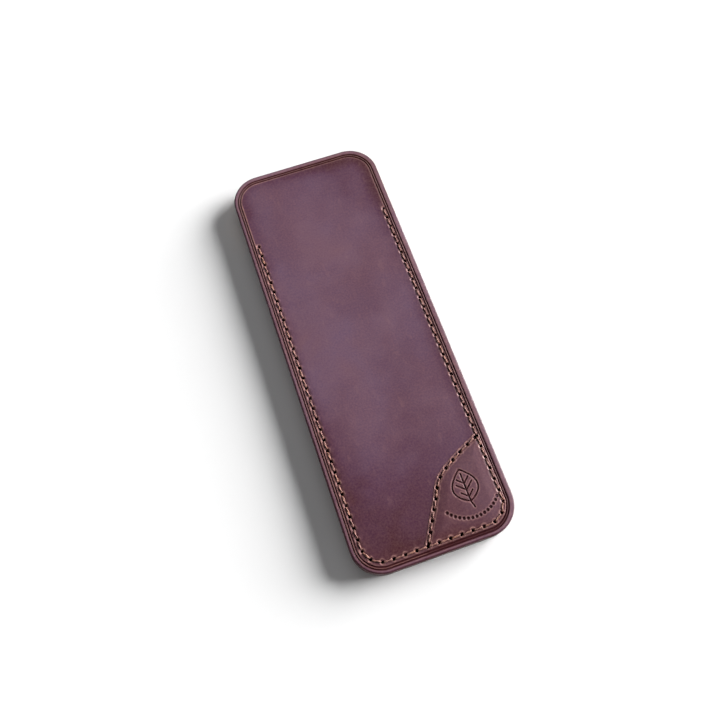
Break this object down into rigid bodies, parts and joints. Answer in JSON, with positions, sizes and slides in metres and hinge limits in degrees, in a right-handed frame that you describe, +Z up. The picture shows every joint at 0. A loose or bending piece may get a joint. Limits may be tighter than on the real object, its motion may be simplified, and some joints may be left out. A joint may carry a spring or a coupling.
{
  "type": "leather strop",
  "caption": "Pocket leather strop: a stiff strop bat with a smooth face and a suede face, sliding in and out of a flat stitched leather sleeve with rounded corners.",
  "frame": {"origin": "on the resting face of the back panel, under the middle of the sleeve's outline", "axes": "+Z up out of the front panel, +Y along the sleeve and out of its open mouth, +X across to the side where the corner patch is"},
  "size_m": [0.0576, 0.1574, 0.0082],
  "materials": {
    "sleeve_leather": "oiled pull-up grain, soft satin sheen",
    "patch_leather": "oiled pull-up grain, debossed, soft satin sheen",
    "welt_leather": "burnished cut edge",
    "thread": "waxed twisted linen thread",
    "suede": "flesh side, matt nap",
    "core_board": "thin birch board, sanded edge",
    "strop_leather": "vegetable-tanned smooth grain"
  },
  "bodies": {
    "sleeve": {"back_panel": "sleeve_leather", "welt": "welt_leather", "front_panel": "sleeve_leather", "corner_patch": "patch_leather", "perimeter_thread": "thread", "patch_thread": "thread"},
    "strop_bat": {"suede_strop_leather": "suede", "strop_core": "core_board", "smooth_strop_leather": "strop_leather"}
  },
  "joints": [
    {"name": "strop_slide", "type": "slide", "parent": "sleeve", "child": "strop_bat", "axis": [0, 1, 0], "range_m": [0, 0.14]}
  ]
}
